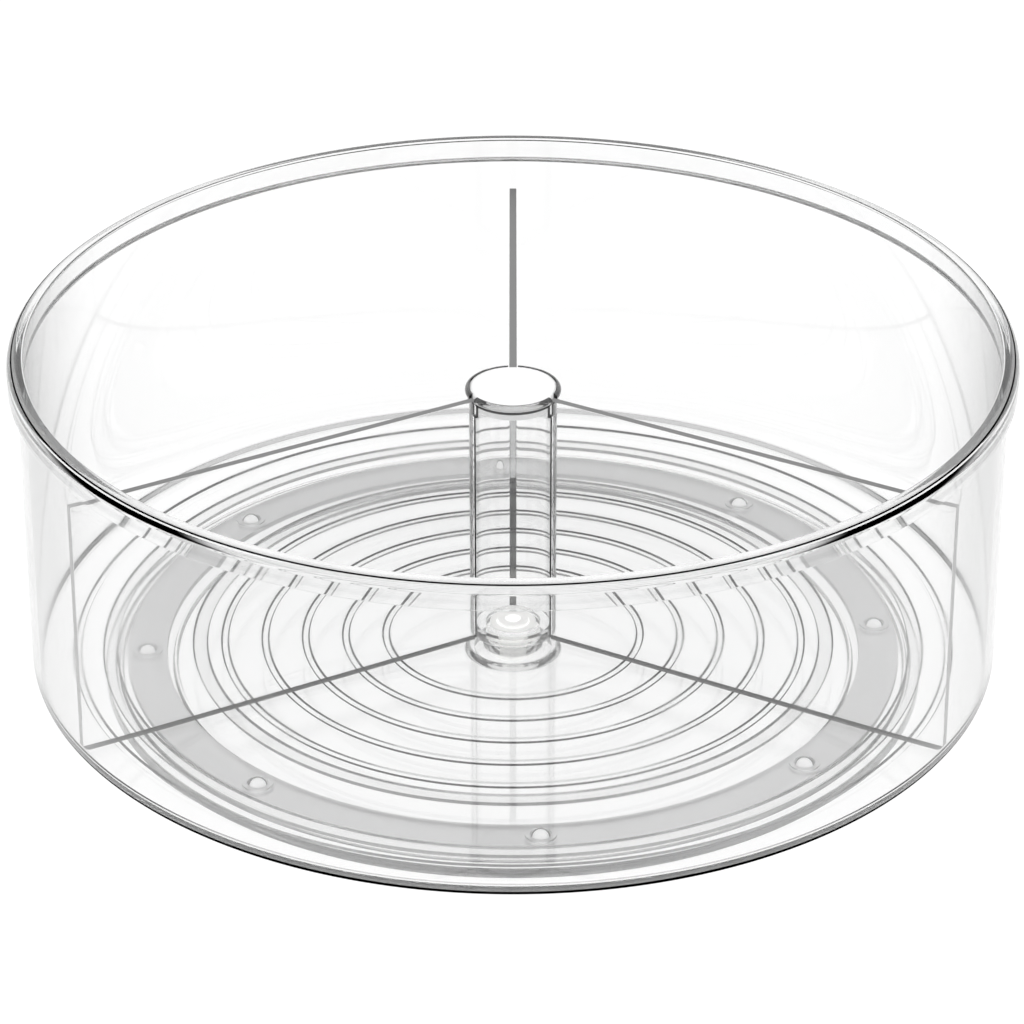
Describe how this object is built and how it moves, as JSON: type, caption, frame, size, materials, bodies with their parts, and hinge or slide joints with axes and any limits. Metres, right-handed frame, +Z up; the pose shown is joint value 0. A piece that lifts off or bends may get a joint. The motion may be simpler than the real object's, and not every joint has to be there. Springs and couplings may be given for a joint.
{
  "type": "lazy susan turntable",
  "caption": "Clear round storage bin on a ball-race turntable base, divided into compartments by lift-out panels around a hollow centre post.",
  "frame": {"origin": "centre of the base plate's underside, on the surface the turntable stands on", "axes": "+Z up along the spin axis; +Y along divider_1; +X to the right of it"},
  "size_m": [0.29, 0.29, 0.1066],
  "materials": {
    "clear_plastic": "clear moulded plastic, polished",
    "cage_plastic": "translucent pale grey, satin",
    "ball": "pearly white, polished",
    "milky_plastic": "off-white, slightly translucent"
  },
  "bodies": {
    "base": {"base_plate": "clear_plastic", "pivot_pin": "milky_plastic", "pivot_collar": "milky_plastic", "thrust_washer": "milky_plastic"},
    "tray": {"tray": "clear_plastic", "center_post": "clear_plastic", "post_cap": "clear_plastic"},
    "cage": {"ball_cage": "cage_plastic"},
    "divider_1": {"divider_1": "clear_plastic"},
    "divider_2": {"divider_2": "clear_plastic"},
    "divider_3": {"divider_3": "clear_plastic"},
    "ball_1": {"ball_1": "ball"},
    "ball_2": {"ball_2": "ball"},
    "ball_3": {"ball_3": "ball"},
    "ball_4": {"ball_4": "ball"},
    "ball_5": {"ball_5": "ball"},
    "ball_6": {"ball_6": "ball"},
    "ball_7": {"ball_7": "ball"},
    "ball_8": {"ball_8": "ball"}
  },
  "joints": [
    {"name": "tray_spin", "type": "hinge", "parent": "base", "child": "tray", "pos_m": [0, 0, 0.0084], "axis": [0, 0, 1], "continuous": true},
    {"name": "cage_spin", "type": "hinge", "parent": "base", "child": "cage", "pos_m": [0, 0, 0.0054], "axis": [0, 0, 1], "continuous": true},
    {"name": "divider_1_lift", "type": "slide", "parent": "tray", "child": "divider_1", "axis": [0, 0, 1], "range_m": [0, 0.1]},
    {"name": "divider_2_lift", "type": "slide", "parent": "tray", "child": "divider_2", "axis": [0, 0, 1], "range_m": [0, 0.1]},
    {"name": "divider_3_lift", "type": "slide", "parent": "tray", "child": "divider_3", "axis": [0, 0, 1], "range_m": [0, 0.1]},
    {"name": "ball_1_roll", "type": "hinge", "parent": "cage", "child": "ball_1", "pos_m": [0.10873, 0.0076, 0.0054], "axis": [0.9976, 0.0698, 0], "continuous": true},
    {"name": "ball_2_roll", "type": "hinge", "parent": "cage", "child": "ball_2", "pos_m": [0.07151, 0.08226, 0.0054], "axis": [0.6561, 0.7547, 0], "continuous": true},
    {"name": "ball_3_roll", "type": "hinge", "parent": "cage", "child": "ball_3", "pos_m": [-0.0076, 0.10873, 0.0054], "axis": [-0.0698, 0.9976, 0], "continuous": true},
    {"name": "ball_4_roll", "type": "hinge", "parent": "cage", "child": "ball_4", "pos_m": [-0.08226, 0.07151, 0.0054], "axis": [-0.7547, 0.6561, 0], "continuous": true},
    {"name": "ball_5_roll", "type": "hinge", "parent": "cage", "child": "ball_5", "pos_m": [-0.10873, -0.0076, 0.0054], "axis": [-0.9976, -0.0698, 0], "continuous": true},
    {"name": "ball_6_roll", "type": "hinge", "parent": "cage", "child": "ball_6", "pos_m": [-0.07151, -0.08226, 0.0054], "axis": [-0.6561, -0.7547, 0], "continuous": true},
    {"name": "ball_7_roll", "type": "hinge", "parent": "cage", "child": "ball_7", "pos_m": [0.0076, -0.10873, 0.0054], "axis": [0.0698, -0.9976, 0], "continuous": true},
    {"name": "ball_8_roll", "type": "hinge", "parent": "cage", "child": "ball_8", "pos_m": [0.08226, -0.07151, 0.0054], "axis": [0.7547, -0.6561, 0], "continuous": true}
  ],
  "couplings": [
    {"joint": "cage_spin", "follows": "tray_spin", "ratio": 0.5},
    {"joint": "ball_1_roll", "follows": "tray_spin", "ratio": -18.167},
    {"joint": "ball_2_roll", "follows": "tray_spin", "ratio": -18.167},
    {"joint": "ball_3_roll", "follows": "tray_spin", "ratio": -18.167},
    {"joint": "ball_4_roll", "follows": "tray_spin", "ratio": -18.167},
    {"joint": "ball_5_roll", "follows": "tray_spin", "ratio": -18.167},
    {"joint": "ball_6_roll", "follows": "tray_spin", "ratio": -18.167},
    {"joint": "ball_7_roll", "follows": "tray_spin", "ratio": -18.167},
    {"joint": "ball_8_roll", "follows": "tray_spin", "ratio": -18.167}
  ]
}
